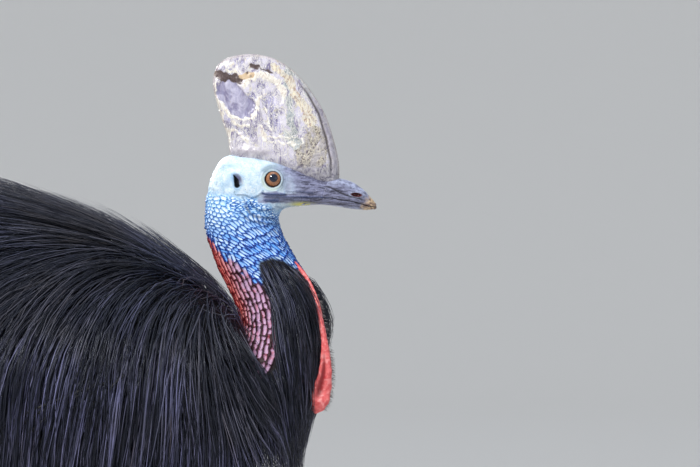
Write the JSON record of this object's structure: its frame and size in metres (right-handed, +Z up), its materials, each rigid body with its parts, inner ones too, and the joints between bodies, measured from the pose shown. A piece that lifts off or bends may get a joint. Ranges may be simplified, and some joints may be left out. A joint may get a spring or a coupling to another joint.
{
  "type": "cassowary",
  "caption": "Still, life-size cassowary that stands on both feet: tall casque, bare neck with wattles, long hair-like coat, sturdy three-toed legs.",
  "frame": {"origin": "middle of the bird's box on the floor it stands on", "axes": "+X the way the bird faces, +Y its left side, +Z up"},
  "size_m": [1.032, 0.4448, 1.1862],
  "materials": {
    "face_skin": "bare skin, matt",
    "neck_skin": "bare wrinkled skin, satin",
    "wattle_skin": "bare folded skin, satin",
    "casque_horn": "worn horn, satin",
    "bill_horn": "horn, satin",
    "eye": "wet gloss",
    "feathers": "long hair-like feathers, low sheen",
    "quill": "bare quill, satin",
    "leg_scales": "horny scales, matt",
    "claw": "horn, satin"
  },
  "bodies": {
    "root": {"head": "face_skin", "casque": "casque_horn", "bill_upper": "bill_horn", "bill_lower": "bill_horn", "neck_upper": "neck_skin", "neck_lower": "neck_skin", "torso": "feathers", "tail": "feathers", "eye_right": "eye", "wattle_right": "wattle_skin", "wing_right": "quill", "thigh_right": "feathers", "shin_right": "leg_scales", "tarsus_right": "leg_scales", "toe_inner_right": "leg_scales", "claw_inner_right": "claw", "toe_middle_right": "leg_scales", "claw_middle_right": "claw", "toe_outer_right": "leg_scales", "claw_outer_right": "claw", "eye_left": "eye", "wattle_left": "wattle_skin", "wing_left": "quill", "thigh_left": "feathers", "shin_left": "leg_scales", "tarsus_left": "leg_scales", "toe_inner_left": "leg_scales", "claw_inner_left": "claw", "toe_middle_left": "leg_scales", "claw_middle_left": "claw", "toe_outer_left": "leg_scales", "claw_outer_left": "claw"}
  },
  "joints": []
}
